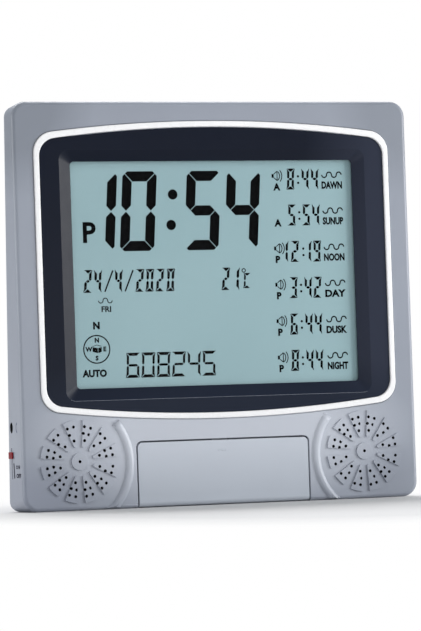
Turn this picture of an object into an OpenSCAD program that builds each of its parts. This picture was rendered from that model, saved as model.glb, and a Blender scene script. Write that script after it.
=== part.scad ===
// Table and wall clock that shows and calls the daily prayer times.
// Millimetres. X to the right, Y to the rear, Z up. The origin is the middle of the flat base.
// A "depth" is a distance behind the front plane of the case.

/* [Case] */
// Width of the case
case_w = 220; // [218:1:224]
// Height of the case
case_h = 209; // [207:1:213]
// Depth of the case at the table
base_depth = 31.5; // [31.5:0.5:34]
// Depth of the case at the top edge
top_depth = 17.5; // [17.5:0.5:20]
// Radius of the four corners, seen from the front
corner_r = 8; // [7.5:0.5:9.5]
// Radius of the front edge
front_edge_r = 2.2; // [1.5:0.1:2.5]
// How much the side walls close in for each mm of depth
side_draft = 0.07; // [0.04:0.01:0.08]
// Thickness of the side walls
wall = 2.4; // [2:0.1:2.6]
// Thickness of the front wall
front_wall = 3; // [2.8:0.1:3.2]

/* [Display] */
// Half width of the white trim ring
ring_half_w = 98.9; // [98:0.1:99.5]
// Width of the white trim ring at its sides
ring_band = 2.9; // [2.5:0.1:3.2]
// How far the trim ring stands out of the case
ring_proud = 0.8; // [0.4:0.1:1.2]
// Half width of the sloped recess at the front plane
recess_half_w = 85.3; // [84.5:0.1:86]
// Half width of the display window
window_half_w = 78.3; // [77:0.1:79]
// Depth at which the window opens
window_depth = 3; // [2.5:0.1:3.2]

/* [Speaker grilles] */
// Distance of each grille's centre from the middle of the clock
grille_x = 79.4; // [79:0.1:80]
// Height of each grille's centre
grille_z = 24.9; // [24.5:0.1:26]
// Outer radius of the raised wedges
grille_r = 21.3; // [20.5:0.1:21.5]
// Radius of a sound hole
sound_hole_r = 0.8; // [0.5:0.05:0.9]
// Height of the raised wedges
wedge_rise = 0.7; // [0.3:0.1:0.8]
// Number of wedges in a grille
wedge_count = 12; // [12:1:12]

/* [Keypad] */
// Half width of the keypad door
door_half_w = 47.4; // [47:0.1:48]
// Height of the door's top edge
door_top = 33.4; // [33:0.1:34]
// Thickness of the door panel
door_t = 2.2; // [2:0.1:2.3]
// Width of a key
key_w = 14; // [12:0.5:15]
// Height of a key
key_h = 6.5; // [5:0.5:7]
// Distance between neighbouring keys
key_pitch = 19.5; // [18:0.5:20]

/* [Power and switch] */
// Radius of the jack's opening in the left side
jack_r = 2.8; // [2.6:0.1:3]
// Depth of the jack's axis
jack_depth = 20.3; // [20:0.1:21]
// Height of the jack's axis
jack_z = 43.2; // [42.5:0.1:44]
// Depth of the middle of the switch slot
switch_depth = 21.2; // [20.5:0.1:21.5]
// Height of the red knob at rest
knob_z = 29.1; // [28.5:0.1:29.5]
// Radius of a battery
battery_r = 7.1; // [7:0.05:7.15]
// Length of a battery
battery_l = 50; // [49.5:0.1:50.5]

/* [Hidden] */

$fn = 48;
corner_facets = 32;
far = 400;
fit_gap = 0.12;

// places of the main planes
front_y = -base_depth / 2;
rear_tilt = atan((base_depth - top_depth) / case_h);
rear_edge_r = 2.5;
rear_corner_r = 5.5;
cover_t = 3;

// display: the ring's edges are shallow arcs, bulged upwards and downwards
ring_top_mid = 198.8;
ring_bottom_mid = 44.7;
ring_arc_r = 746.5;
ring_corner_r = 11;
ring_gap = 0.4;
band_top_mid = 195.8;
band_bottom_mid = 47.7;
band_top_r = 689;
band_bottom_r = 722;
band_corner_r = 9.5;
recess_low = 55.6;
recess_high = 184;
recess_corner_r = 5;
window_low = 61.9;
window_high = 177.3;
window_corner_r = 2;
rebate_depth = 1.6;
opening_half_w = 87;
opening_low = 53.9;
opening_high = 185.7;
bezel_back = window_depth + 0.9;
lens_front = 4;
lens_t = 1;
lcd_front = 5.1;
lcd_t = 2.2;
light_front = 7.4;
light_t = 2;
holder_front = front_wall + 0.1;
holder_back = 10.5;
holder_half_w = 93;
holder_low = 50.5;
holder_high = 189;
board_front = 10.6;
board_t = 1.6;
board_half_w = 91.5;
board_low = 58;
board_high = 182;
board_back = board_front + board_t;

// grille
wedge_step = 360 / wedge_count;
wedge_tip_x = 8.3;
wedge_tip_r = 0.85;
wedge_flare = 10.9;
hub_r = 4.4;
hole_rings = [[17.96, 5.53], [14.5, 5.95], [11, 0]];
rib_x = 84.6;
rib_z = 23.7;
rib_r = 32.6;
rib_tube_r = 3.2;
rib_rise = 1.1;
rib_low = 0.8;

// wedge and side of each hole that the middle ring of a grille goes without
closed_right = [[0, 1], [1, 1], [6, -1], [7, -1], [8, -1], [9, -1], [11, 1]];
closed_left = [[1, 1], [2, 1], [4, -1], [6, -1]];

// speaker
speaker_r = 20;
speaker_rim = 17.6;
speaker_screw_r = 24.5;
speaker_screw_turn = 150;

// keypad
hinge_depth = 2.4;
hinge_z = 2.8;
hinge_bore_r = 0.85;
hinge_pin_r = 0.8;
hinge_bore_l = 6;
door_gap = 0.8;
bay_half_w = door_half_w + door_gap;
bay_top = door_top + door_gap;
bay_wall = 1.6;
ear_w = 3.4;
panel_front = 4.6;
panel_t = 1.4;
panel_low = 6;
key_front = 3.4;
key_flange_t = 0.6;
key_gap = 0.35;
key_columns = 4;
key_row_z = [21.2, 11];
key_first_x = -1.5 * key_pitch - 4.5;
key_mat_front = 7.6;
key_mat_t = 0.7;
key_board_front = 8.4;
key_board_t = 1.1;
key_board_top = 27;
reset_x = 40.5;
reset_r = 1.6;
latch_half_w = 4.5;
latch_low = 27.8;
latch_high = 32.4;
latch_z = (latch_low + latch_high) / 2;
latch_bore_r = 1.55;
plunger_r = 1.5;
plunger_front = 4.4;

// power
boss_inner_x = -100;
socket_half_h = 4.2;
slot_w = 1.2;
slot_low = 17;
slot_high = 33;
knob_depth = 20.4;
knob_w = 6;
knob_h = 3.5;
battery_y = 2.5;
battery_pitch = 15;
battery_first_z = 17.4;
cell_half_l = battery_l / 2;
cell_bay_half_w = 27.6;
cell_bay_low = 9.8;
cell_bay_high = 55;
cell_bay_front = battery_y - battery_r - 0.15;
cell_bay_wall = 1.1;
cell_door_half_w = 30.4;
cell_door_low = 7;
cell_door_high = 58.4;
cell_door_t = 1.8;
cell_hinge_r = cell_door_t / 2;
keyhole_z = 186;
keyhole_head_r = 4.2;
keyhole_slot_r = 2.1;
keyhole_rise = 8;

// leads inside the case: across, depth and height of each point of a route
speaker_lead_route = [[79.4, 10.42, 35.3], [79.4, 13, 35.5], [79.2, 14.4, 38], [77, 14.5, 52],
                      [72.5, 14.5, 60.5], [72, 13.8, 62.6], [72, 12.22, 63]];
battery_lead_route = [[29.4, 18.2, 51.64], [29.4, 18.2, 54], [30, 18, 57], [33, 15.6, 61],
                      [35.6, 14.6, 65], [36, 13.8, 66.6], [36, 12.22, 67]];

// fasteners
case_screw_at = [[54.5, 7.4], [101, 51], [100, 199.4]];
case_post_r = 3.4;
case_pilot_r = 1.25;
screw_head_r = 2.6;
holder_screw_at = [[97.6, 82], [97.6, 158]];
board_screw_at = [[88.6, 66], [88.6, 174]];
key_screw_x = bay_half_w - 0.4;
key_screw_z = [9, 24];

function rear_y(z) = front_y + base_depth - z * (base_depth - top_depth) / case_h;
function side_x(depth) = case_w / 2 - side_draft * depth;
function arc(cx, cz, r, from, to, n) =
    [for (i = [0 : n]) let (a = from + (to - from) * i / n) [cx + r * cos(a), cz + r * sin(a)]];

// Outline of four rounded corners joined by straight edges
function round_box(half_w, low, high, r, n = 6) = concat(
    arc(half_w - r, low + r, r, -90, 0, n), arc(half_w - r, high - r, r, 0, 90, n),
    arc(r - half_w, high - r, r, 90, 180, n), arc(r - half_w, low + r, r, 180, 270, n));

// Outline with straight sides and a shallow arc above and below; corners of radius r touch both
function bowed_box(half_w, low, high, low_r, high_r, r, n = 8, arc_n = 18) =
    let (cx = half_w - r,
         high_c = high - high_r,
         low_c = low + low_r,
         high_z = high_c + sqrt(pow(high_r - r, 2) - cx * cx),
         low_z = low_c - sqrt(pow(low_r - r, 2) - cx * cx),
         high_a = atan2(high_z - high_c, cx),
         low_a = atan2(low_c - low_z, cx))
    concat(arc(cx, low_z, r, -low_a, 0, n), arc(cx, high_z, r, 0, high_a, n),
           arc(0, high_c, high_r, high_a, 180 - high_a, arc_n),
           arc(-cx, high_z, r, 180 - high_a, 180, n), arc(-cx, low_z, r, 180, 180 + low_a, n),
           arc(0, low_c, low_r, 180 + low_a, 360 - low_a, arc_n));

ring_outline = bowed_box(ring_half_w, ring_bottom_mid, ring_top_mid, ring_arc_r, ring_arc_r,
                         ring_corner_r);
band_outline = bowed_box(ring_half_w - ring_band, band_bottom_mid, band_top_mid,
                         band_bottom_r, band_top_r, band_corner_r);

// Children drawn in the front view: [x, height, distance out of the front plane]
module on_front() translate([0, front_y, 0]) rotate([90, 0, 0]) children();

// A layer of a flat outline between two depths
module layer(from, to) on_front() translate([0, 0, -to]) linear_extrude(to - from) children();

// Children drawn on the sloped rear plane: [x, -distance up the plane, distance out of it]
module on_rear() translate([0, rear_y(0), 0]) rotate([rear_tilt - 90, 0, 0]) children();

// A round bar along Y between two depths, at a place in the front view
module bar(x, z, r, from, to) on_front() translate([x, z, -to]) cylinder(r = r, h = to - from);

module both_sides() { children(); mirror([1, 0, 0]) children(); }

// A thin tube swept along a list of points, which never runs along X
module wire(points, r, sides = 8) {
    last = len(points) - 1;
    rings = [for (i = [0 : last])
        let (run = points[min(i + 1, last)] - points[max(i - 1, 0)],
             t = run / norm(run),
             u = cross(t, [1, 0, 0]),
             a = u / norm(u),
             b = cross(t, a))
        for (k = [0 : sides - 1])
            points[i] + r * (cos(360 * k / sides) * a + sin(360 * k / sides) * b)];
    skin = [for (i = [0 : last - 1], k = [0 : sides - 1])
        let (p = i * sides + k, q = i * sides + (k + 1) % sides)
        each [[p, p + sides, q + sides], [p, q + sides, q]]];
    caps = [[for (k = [0 : sides - 1]) k], [for (k = [sides - 1 : -1 : 0]) last * sides + k]];
    polyhedron(rings, concat(skin, caps));
}

// A stack of cones that rounds the end of an upright bar by a radius, in quarter turns of steps
module rounded_end(r, edge, steps) for (i = [0 : steps - 1]) {
    a = 90 * i / steps;
    b = 90 * (i + 1) / steps;
    translate([0, 0, edge * (sin(a) - 1)])
        cylinder(r1 = r - edge * (1 - cos(a)), r2 = r - edge * (1 - cos(b)),
                 h = edge * (sin(b) - sin(a)), $fn = corner_facets);
}

// The body of the case: closing sides and a sloped rear, all inset by some amount
module case_block(inset, front, front_edge, front_steps, rear_edge, rear_steps) {
    lift = rear_edge_r * tan(rear_tilt);
    hull() for (side = [-1, 1], top = [0, 1]) {
        z = top ? case_h - corner_r : corner_r;
        depth = top ? top_depth : base_depth;
        rear_s = top ? case_h / cos(rear_tilt) - rear_corner_r - side_draft * depth
                     : rear_corner_r + lift;
        on_front() translate([side * (case_w / 2 - corner_r), z, -front])
            rounded_end(corner_r - inset, front_edge, front_steps);
        on_rear() translate([side * (side_x(depth) - rear_corner_r), -rear_s, 0])
            rounded_end(rear_corner_r - inset, rear_edge, rear_steps);
    }
}
module outer_block() case_block(0, 0, front_edge_r, 3, rear_edge_r, 2);
module inner_block(inset, front) case_block(inset, front, 0.8, 1, 0.8, 1);

// Everything in front of the joint between the two halves of the case, and everything behind it
module front_part(gap = 0)
    on_rear() translate([-far / 2, -far, -far - cover_t - gap]) cube([far, 2 * far, far]);
module rear_part() on_rear() translate([-far / 2, -far, -cover_t]) cube([far, 2 * far, far]);
module above_table() translate([-far / 2, -far / 2, 0]) cube([far, far, far]);

// A plain box in the front view: half width, low and high edge, between two depths
module slab(half_w, low, high, from, to)
    translate([-half_w, front_y + from, low]) cube([2 * half_w, to - from, high - low]);

// ---- front half of the case ----

module wedge() intersection() {
    cylinder(r = grille_r, h = wedge_rise + 0.2);
    linear_extrude(wedge_rise + 0.2) {
        reach = grille_r + 2;
        spread = (reach - wedge_tip_x) * tan(wedge_flare) + wedge_tip_r / cos(wedge_flare);
        polygon(concat(arc(wedge_tip_x, 0, wedge_tip_r, 90 + wedge_flare, 270 - wedge_flare, 5),
                       [[reach, -spread], [reach, spread]]));
    }
}

module grille_relief() on_front() translate([grille_x, grille_z, -0.2]) {
    cylinder(r = hub_r, h = wedge_rise + 0.2);
    for (i = [0 : wedge_count - 1]) rotate((i + 0.5) * wedge_step) wedge();
}

module sound_hole(turn, r) rotate(turn) translate([r, 0, 0])
    cylinder(r = sound_hole_r, h = front_wall + 3, $fn = 16);

module grille_holes(closed) on_front() translate([grille_x, grille_z, -front_wall - 1]) {
    sound_hole(0, 0);
    for (i = [0 : wedge_count - 1]) {
        middle = (i + 0.5) * wedge_step;
        for (side = [-1, 1]) {
            sound_hole(middle + side * hole_rings[0][1], hole_rings[0][0]);
            if (len([for (c = closed) if (c == [i, side]) c]) == 0)
                sound_hole(middle + side * hole_rings[1][1], hole_rings[1][0]);
        }
        sound_hole(middle, hole_rings[2][0]);
    }
}

// A low rounded rib that curves round the inner side of the grille, down to the bottom edge
module grille_rib() intersection() {
    on_front() translate([rib_x, rib_z, rib_rise - rib_tube_r]) rotate(141)
        rotate_extrude(angle = 90) translate([rib_r, 0]) circle(r = rib_tube_r);
    translate([0, front_y - 2, rib_low]) cube([case_w, 4, case_h]);
}

module speaker_mount() {
    difference() {
        bar(grille_x, grille_z, speaker_r + 1.3, front_wall - 0.1, 5);
        bar(grille_x, grille_z, speaker_r + 0.2, front_wall - 1, 6);
        translate([grille_x, front_y + 5, grille_z]) rotate([0, -speaker_screw_turn, 0])
            cube([2 * speaker_screw_r, 4, 8], center = true);
    }
    for (a = [0, 180]) speaker_boss(a, 2.3, front_wall - 0.1, 3.4);
}

// A round bar at one of the two screws that hold a speaker
module speaker_boss(turn, r, from, to)
    bar(grille_x + speaker_screw_r * cos(speaker_screw_turn + turn),
        grille_z + speaker_screw_r * sin(speaker_screw_turn + turn), r, from, to);

module keypad_bay() difference() {
    slab(bay_half_w + ear_w, 1, bay_top + bay_wall, 0.5, 7.4);
    slab(bay_half_w - 2.1, panel_low + 0.5, bay_top - 1, 5, 8);
}

module keypad_bay_hollow() {
    layer(-1, hinge_depth + hinge_depth + 0.4)
        polygon(concat([[-bay_half_w, -1], [bay_half_w, -1]],
                       arc(bay_half_w - 3, bay_top - 3, 3, 0, 90, 6),
                       arc(3 - bay_half_w, bay_top - 3, 3, 90, 180, 6)));
    slab(bay_half_w, panel_low - 0.1, bay_top, 4, panel_front + panel_t + 0.05);
}

module side_cradles() {
    translate([boss_inner_x, front_y + jack_depth, jack_z]) rotate([0, -90, 0])
        cylinder(r = 4.2, h = 7.5);
    for (side = [-1, 1]) {
        translate([-107, front_y + jack_depth - 4, jack_z + side * (socket_half_h + 0.7) - 0.6])
            cube([18, 7.2, 1.2]);
        translate([-107, front_y + switch_depth - 4, 25 + side * 10.8 - 0.5]) cube([7, 7.4, 1]);
    }
}

module front_fittings() {
    both_sides() {
        for (p = case_screw_at) bar(p[0], p[1], case_post_r, front_wall - 0.1, base_depth);
        for (p = holder_screw_at) bar(p[0], p[1], 2.6, front_wall - 0.1, 8);
        for (z = key_screw_z) bar(key_screw_x, z, 1.9, 7.3, key_board_front - 0.02);
        speaker_mount();
    }
    keypad_bay();
    side_cradles();
}

module front_case() color([0.66, 0.68, 0.73]) difference() {
    union() {
        intersection() {
            union() {
                difference() {
                    outer_block();
                    inner_block(wall, front_wall);
                }
                front_fittings();
            }
            front_part();
            above_table();
        }
        both_sides() {
            grille_relief();
            grille_rib();
        }
    }
    grille_holes(closed_right);
    mirror([1, 0, 0]) grille_holes(closed_left);
    both_sides() {
        for (p = case_screw_at) bar(p[0], p[1], case_pilot_r, front_wall + 2, base_depth);
        for (p = holder_screw_at) bar(p[0], p[1], 1.1, front_wall + 0.6, 9);
        for (a = [0, 180]) speaker_boss(a, 0.9, 1.2, 6);
        for (z = key_screw_z) bar(key_screw_x, z, 0.9, 6.4, 9);
        translate([bay_half_w - 1, front_y + hinge_depth, hinge_z]) rotate([0, 90, 0])
            cylinder(r = hinge_pin_r, h = ear_w + 0.9, $fn = 24);
    }
    layer(-1, rebate_depth)
        polygon(bowed_box(ring_half_w + ring_gap, ring_bottom_mid - ring_gap, ring_top_mid + ring_gap,
                          ring_arc_r, ring_arc_r, ring_corner_r + ring_gap));
    layer(0, front_wall + 1) polygon(round_box(opening_half_w, opening_low, opening_high, 4));
    keypad_bay_hollow();
    translate([-far / 2, front_y + jack_depth, jack_z]) rotate([0, 90, 0])
        cylinder(r = jack_r, h = far / 2 + boss_inner_x + 1);
    translate([-case_w / 2 - 2, front_y + switch_depth - slot_w / 2, slot_low])
        cube([6, slot_w, slot_high - slot_low]);
}

// ---- rear half of the case ----

module cover_screw_holes() both_sides() for (p = case_screw_at) {
    bar(p[0], p[1], 1.5, top_depth - 6, base_depth + 2);
    translate([p[0], rear_y(p[1]) - 1.6, p[1]]) rotate([-90, 0, 0]) cylinder(r = 2.9, h = 6);
}

module keyhole() on_rear() translate([0, -keyhole_z, -cover_t - 1]) {
    cylinder(r = keyhole_head_r, h = cover_t + 2);
    translate([0, -keyhole_rise, 0]) cylinder(r = keyhole_slot_r, h = cover_t + 2);
    translate([-keyhole_slot_r, -keyhole_rise, 0]) cube([2 * keyhole_slot_r, keyhole_rise, cover_t + 2]);
}

module rear_case() color([0.62, 0.64, 0.69]) difference() {
    union() {
        intersection() {
            outer_block();
            rear_part();
            above_table();
        }
        intersection() {
            difference() {
                inner_block(wall + 0.15, 6);
                inner_block(wall + 1.35, 5);
            }
            on_rear() translate([-far / 2, -far, -cover_t - 1.4]) cube([far, 2 * far, 1.5]);
        }
        intersection() {
            translate([-cell_bay_half_w - cell_bay_wall, cell_bay_front - cell_bay_wall,
                       cell_bay_low - cell_bay_wall])
                cube([2 * (cell_bay_half_w + cell_bay_wall), base_depth,
                      cell_bay_high - cell_bay_low + 2 * cell_bay_wall]);
            front_part(-1);
        }
    }
    translate([-cell_bay_half_w, cell_bay_front, cell_bay_low])
        cube([2 * cell_bay_half_w, base_depth, cell_bay_high - cell_bay_low]);
    for (side = [-1, 1])
        translate([side * (cell_bay_half_w + 0.5) - 1, battery_y - 2, cell_bay_high - 4])
            cube([2, 4, 0.7]);
    on_rear() translate([-cell_door_half_w - 0.3, -cell_door_high - 0.3, -cell_door_t - 0.1])
        cube([2 * cell_door_half_w + 0.6, cell_door_high - cell_door_low + 0.6, 5]);
    cover_screw_holes();
    keyhole();
}

module battery_door() color([0.62, 0.64, 0.69]) on_rear() difference() {
    union() {
        translate([-cell_door_half_w, -cell_door_high, -cell_door_t])
            cube([2 * cell_door_half_w, cell_door_high - cell_door_low - cell_hinge_r, cell_door_t]);
        translate([-cell_door_half_w, -cell_door_low - cell_hinge_r, -cell_hinge_r])
            rotate([0, 90, 0]) cylinder(r = cell_hinge_r, h = 2 * cell_door_half_w);
    }
    for (i = [0 : 4])
        translate([-9, -cell_door_high + 3 + 1.6 * i, -0.5]) cube([18, 0.8, 1]);
    for (side = [-1, 1])
        translate([side * 11.5 - 0.4, -cell_door_high - 1, -cell_door_t - 1]) cube([0.8, 10, 4]);
}

// ---- display ----

module trim_ring() color([0.93, 0.94, 0.96]) {
    step = 0.8;
    difference() {
        union() {
            layer(-ring_proud + 0.4, rebate_depth - 0.02) polygon(ring_outline);
            layer(-ring_proud, 0)
                polygon(bowed_box(ring_half_w - step, ring_bottom_mid + step, ring_top_mid - step,
                                  ring_arc_r, ring_arc_r, ring_corner_r - step));
        }
        layer(-2, rebate_depth + 1) polygon(band_outline);
        layer(-2, -ring_proud + 0.4)
            polygon(bowed_box(ring_half_w - ring_band + step, band_bottom_mid - step,
                              band_top_mid + step, band_bottom_r, band_top_r, band_corner_r + step));
    }
}

module display_bezel() color([0.12, 0.14, 0.21]) difference() {
    union() {
        layer(0.1, rebate_depth - 0.02)
            polygon(bowed_box(ring_half_w - ring_band - fit_gap, band_bottom_mid + fit_gap,
                              band_top_mid - fit_gap, band_bottom_r, band_top_r, band_corner_r));
        layer(rebate_depth - 0.2, bezel_back)
            polygon(round_box(opening_half_w - 0.5, opening_low + 0.5, opening_high - 0.5, 4));
    }
    hull() {
        layer(-0.1, 0.1) polygon(round_box(recess_half_w, recess_low, recess_high, recess_corner_r));
        layer(window_depth - 0.1, window_depth)
            polygon(round_box(window_half_w, window_low, window_high, window_corner_r));
    }
    layer(1, bezel_back + 1) polygon(round_box(window_half_w, window_low, window_high, window_corner_r));
}

module display_window() color([0.8, 0.9, 0.9, 0.3])
    layer(lens_front, lens_front + lens_t) polygon(round_box(84, 56.5, 182.8, 1));

module lcd_glass() color([0.6, 0.71, 0.73])
    layer(lcd_front, lcd_front + lcd_t) polygon(round_box(83, 57.2, 182.1, 0.5, 2));

module backlight_panel() color([0.9, 0.95, 0.95])
    layer(light_front, light_front + light_t) polygon(round_box(82, 62, 177.4, 1, 2));

module holder_ears(r, from, to)
    both_sides() for (p = holder_screw_at) bar(p[0], p[1], r, from, to);

module lcd_holder() color([0.2, 0.2, 0.22]) difference() {
    union() {
        layer(holder_front, holder_back) polygon(round_box(holder_half_w, holder_low, holder_high, 3));
        holder_ears(3, 8.05, holder_back);
        both_sides() for (p = holder_screw_at)
            translate([holder_half_w - 1, front_y + 8.05, p[1] - 3])
                cube([p[0] - holder_half_w + 1, holder_back - 8.05, 6]);
    }
    layer(holder_front - 1, lens_front)
        polygon(round_box(opening_half_w + 0.2, opening_low - 0.2, opening_high + 0.2, 4));
    layer(lens_front - 0.1, 9.5) polygon(round_box(84.3, 56.2, 183.1, 1));
    layer(9, 12) polygon(round_box(74, 66, 173, 3));
    for (z = [57.6, 178.4]) slab(71, z, z + 3.2, 9, 12);
    slab(cell_bay_half_w + 1.6, holder_low - 1, cell_bay_high + cell_bay_wall + 0.5, 9.4, 12);
    holder_ears(1.2, 7, 12);
    both_sides() for (p = board_screw_at) bar(p[0], p[1], 0.9, 5.5, 12);
}

module contact_strips() color([0.75, 0.35, 0.5])
    for (z = [58.2, 179]) slab(70, z, z + 2, lcd_front + lcd_t + 0.02, board_front - 0.02);

module main_board() color([0.1, 0.4, 0.2]) difference() {
    layer(board_front, board_back) polygon(round_box(board_half_w, board_low, board_high, 1, 2));
    both_sides() for (p = board_screw_at) bar(p[0], p[1], 1.2, 9, 14);
}

// A flat package with legs along both long sides
module chip(x, z, w, h, t, legs) {
    slab_front = board_back + 0.3;
    translate([x - w / 2, front_y + slab_front, z - h / 2]) cube([w, t, h]);
    for (i = [0 : legs - 1], side = [-1, 1])
        translate([x - w / 2 + (i + 0.5) * w / legs - 0.3, front_y + board_back + 0.02,
                   z + side * (h / 2 + 0.5) - 0.7])
            cube([0.6, 0.9, 1.4]);
}
module clock_chip() color([0.1, 0.1, 0.1]) chip(-20, 125, 20, 14, 1.8, 12);
module sound_chip() color([0.1, 0.1, 0.1]) chip(30, 95, 18, 8, 2.4, 8);
module capacitors() color([0.15, 0.2, 0.45])
    for (p = [[-60, 90], [-50, 90], [55, 90]]) bar(p[0], p[1], 3.1, board_back + 0.02, 18);

// ---- speakers ----

module speaker_axis(side)
    translate([side * grille_x, front_y, grille_z]) rotate([-90, 0, 0]) children();

module speaker_basket() {
    difference() {
        union() {
            speaker_axis(1) rotate_extrude() polygon([[17.2, 3.2], [20, 3.2], [20, 4.4], [18.4, 4.4],
                [11, 10.4], [8, 10.4], [8, 9.4], [10.3, 9.4], [17.2, 4.3]]);
            for (a = [0, 180]) speaker_boss(a, 2.6, 3.45, 4.4);
            translate([grille_x, front_y + 3.925, grille_z]) rotate([0, -speaker_screw_turn, 0])
                difference() {
                    cube([2 * speaker_screw_r, 0.95, 5.2], center = true);
                    cube([2 * speaker_rim + 1, 2, 8], center = true);
                }
        }
        for (a = [0, 180]) speaker_boss(a, 1.1, 2, 6);
    }
}
module speaker_cone() speaker_axis(1) rotate_extrude()
    polygon([[0, 7.2], [5.6, 7.4], [15.8, 3.4], [16.8, 3.4], [16.8, 4], [6, 8.2], [0, 8.2]]);
module speaker_magnet() speaker_axis(1) rotate_extrude()
    polygon([[0, 9], [7.6, 9], [7.6, 10.42], [9.6, 10.42], [9.6, 15], [9, 15.6], [0, 15.6]]);

module right_speaker_basket() color([0.35, 0.35, 0.37]) speaker_basket();
module right_speaker_cone() color([0.12, 0.12, 0.12]) speaker_cone();
module right_speaker_magnet() color([0.5, 0.5, 0.52]) speaker_magnet();
module left_speaker_basket() color([0.35, 0.35, 0.37]) mirror([1, 0, 0]) speaker_basket();
module left_speaker_cone() color([0.12, 0.12, 0.12]) mirror([1, 0, 0]) speaker_cone();
module left_speaker_magnet() color([0.5, 0.5, 0.52]) mirror([1, 0, 0]) speaker_magnet();

module speaker_leads() color([0.7, 0.1, 0.1]) both_sides()
    wire([for (p = speaker_lead_route) [p[0], front_y + p[1], p[2]]], 0.6);

// ---- keypad ----

module keypad_door() color([0.68, 0.7, 0.75]) difference() {
    union() {
        layer(0, door_t)
            polygon(concat([[-door_half_w, hinge_z], [door_half_w, hinge_z]],
                           arc(door_half_w - 2.5, door_top - 2.5, 2.5, 0, 90, 8),
                           arc(2.5 - door_half_w, door_top - 2.5, 2.5, 90, 180, 8)));
        translate([-door_half_w, front_y + hinge_depth, hinge_z]) rotate([0, 90, 0])
            cylinder(r = hinge_depth, h = 2 * door_half_w);
        slab(1.2, latch_z - 0.7, latch_z + 0.7, door_t - 0.2, plunger_front - 0.1);
        for (x = [-2, 0, 2]) bar(x - 0.5, 28.2, 0.5, -0.2, 1);
    }
    both_sides() translate([door_half_w - hinge_bore_l, front_y + hinge_depth, hinge_z])
        rotate([0, 90, 0]) cylinder(r = hinge_bore_r, h = hinge_bore_l + 1, $fn = 24);
}

module door_hinge_pins() color([0.75, 0.75, 0.78]) both_sides()
    translate([door_half_w - hinge_bore_l + 0.3, front_y + hinge_depth, hinge_z]) rotate([0, 90, 0])
        cylinder(r = hinge_pin_r, h = hinge_bore_l + door_gap + ear_w - 0.5, $fn = 24);

module latch_body() color([0.9, 0.9, 0.88]) difference() {
    slab(latch_half_w, latch_low, latch_high, 3.4, 9.6);
    bar(0, latch_z, latch_bore_r, 3, 9.2);
}
module latch_plunger() color([0.3, 0.3, 0.32]) bar(0, latch_z, plunger_r, plunger_front, 8);

module keypad_panel() color([0.55, 0.57, 0.62]) difference() {
    slab(bay_half_w - 0.15, panel_low, bay_top - 0.15, panel_front, panel_front + panel_t);
    for (i = [0 : 7]) key_block(i, key_gap, panel_front - 1, panel_front + panel_t + 1);
    bar(reset_x, key_row_z[1], reset_r + 0.15, 3, 8);
    slab(latch_half_w + 0.15, latch_low - 0.15, far, 3, 8);
}

// The upright outline of key i, grown by some amount, between two depths
module key_block(i, grow, from, to) {
    x = key_first_x + (i % key_columns) * key_pitch;
    z = key_row_z[floor(i / key_columns)];
    translate([x - key_w / 2 - grow, front_y + from, z - key_h / 2 - grow])
        cube([key_w + 2 * grow, to - from, key_h + 2 * grow]);
}
module key(i) color([0.86, 0.87, 0.9]) {
    step = 0.5;
    key_block(i, -step, key_front, key_front + 1);
    key_block(i, 0, key_front + step, panel_front + panel_t + 0.2);
    key_block(i, 1, panel_front + panel_t + 0.06, panel_front + panel_t + 0.06 + key_flange_t);
}
module key_1() key(0);
module key_2() key(1);
module key_3() key(2);
module key_4() key(3);
module key_5() key(4);
module key_6() key(5);
module key_7() key(6);
module key_8() key(7);

module reset_button() color([0.75, 0.15, 0.15]) {
    bar(reset_x, key_row_z[1], reset_r, panel_front + 0.2, panel_front + panel_t + 0.2);
    bar(reset_x, key_row_z[1], reset_r + 0.8, panel_front + panel_t + 0.06,
        panel_front + panel_t + 0.06 + key_flange_t);
}

module key_mat() color([0.3, 0.3, 0.32])
    slab(44, 6.8, 27, key_mat_front, key_mat_front + key_mat_t);

module keypad_board() color([0.1, 0.4, 0.2]) difference() {
    slab(bay_half_w + 1.4, 5.5, key_board_top, key_board_front, key_board_front + key_board_t);
    both_sides() for (z = key_screw_z) bar(key_screw_x, z, 1.1, 7, 12);
}

// ---- power, switch, batteries ----

module jack_socket() color([0.08, 0.08, 0.08]) difference() {
    translate([boss_inner_x + 0.05, front_y + jack_depth - 4, jack_z - socket_half_h])
        cube([12, 8, 2 * socket_half_h]);
    translate([boss_inner_x - 1, front_y + jack_depth, jack_z]) rotate([0, 90, 0])
        cylinder(r = jack_r + 0.3, h = 10);
}
module jack_contact_pin() color([0.8, 0.75, 0.5])
    translate([boss_inner_x + 3, front_y + jack_depth, jack_z]) rotate([0, 90, 0])
        cylinder(r = 0.9, h = 5.98);

module switch_body() color([0.1, 0.1, 0.1]) difference() {
    translate([-105.6, front_y + switch_depth - 4, 15]) cube([5.6, 7.4, 20]);
    translate([-106, front_y + switch_depth - 1.5, 17]) cube([3.8, 3, 15.2]);
}

module switch_knob() color([0.75, 0.05, 0.1]) {
    outer_x = -case_w / 2 + 0.4;
    translate([outer_x, front_y + knob_depth - knob_w / 2, knob_z - knob_h / 2])
        cube([0.7, knob_w, knob_h]);
    translate([outer_x + 0.5, front_y + switch_depth - 0.5, knob_z - knob_h / 2])
        cube([5.1, 1, knob_h]);
    translate([-105.2, front_y + switch_depth - 1.3, knob_z - 2.5]) cube([2.7, 2.6, 5]);
}

module battery(i) color([0.2, 0.35, 0.3]) {
    turn = i % 2 == 0 ? 90 : -90;
    translate([0, battery_y, battery_first_z + i * battery_pitch]) rotate([0, turn, 0]) {
        translate([0, 0, -cell_half_l + 0.6]) cylinder(r = battery_r, h = battery_l - 1.8);
        translate([0, 0, -cell_half_l]) cylinder(r = 4.5, h = 1);
        translate([0, 0, cell_half_l - 1.3]) cylinder(r = 2.7, h = 1.3);
    }
}
module battery_1() battery(0);
module battery_2() battery(1);
module battery_3() battery(2);

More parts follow.
